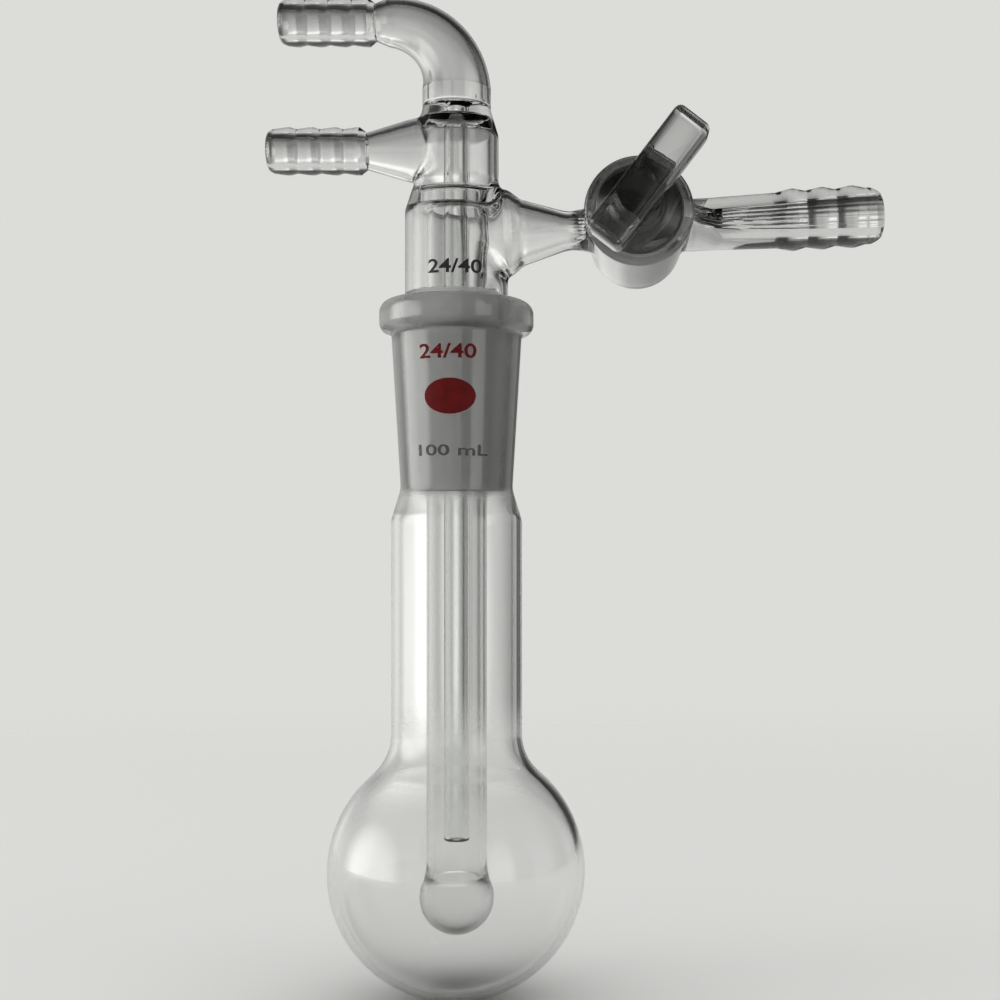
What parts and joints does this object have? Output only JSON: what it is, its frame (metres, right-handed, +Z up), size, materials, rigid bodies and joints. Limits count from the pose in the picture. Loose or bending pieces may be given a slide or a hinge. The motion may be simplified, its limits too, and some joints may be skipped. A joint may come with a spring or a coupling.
{
  "type": "sublimation apparatus",
  "caption": "Glass sublimation apparatus: round flask with ground joint, water-cooled finger head, serrated hose connections and a stopcock.",
  "frame": {"origin": "on the flask's axis in the middle of the straight neck, where the clamp of a stand grips it", "axes": "+Z up along the flask's axis, +X towards the vacuum tube and its stopcock, -X towards the water hose connections, -Y towards the stopcock's handle"},
  "size_m": [0.1349, 0.0675, 0.2198],
  "materials": {
    "glass": "clear",
    "plug_glass": "ground",
    "washer_plastic": "matte",
    "ring_rubber": "matte"
  },
  "bodies": {
    "glass_body": {"flask": "glass", "condenser_head": "glass"},
    "plug_body": {"stopcock_plug": "plug_glass", "plug_washer": "washer_plastic", "plug_retaining_ring": "ring_rubber"}
  },
  "joints": [
    {"name": "plug_turn", "type": "hinge", "parent": "glass_body", "child": "plug_body", "pos_m": [0.0397, 0, 0.0884], "axis": [0, 1, 0], "continuous": true}
  ]
}
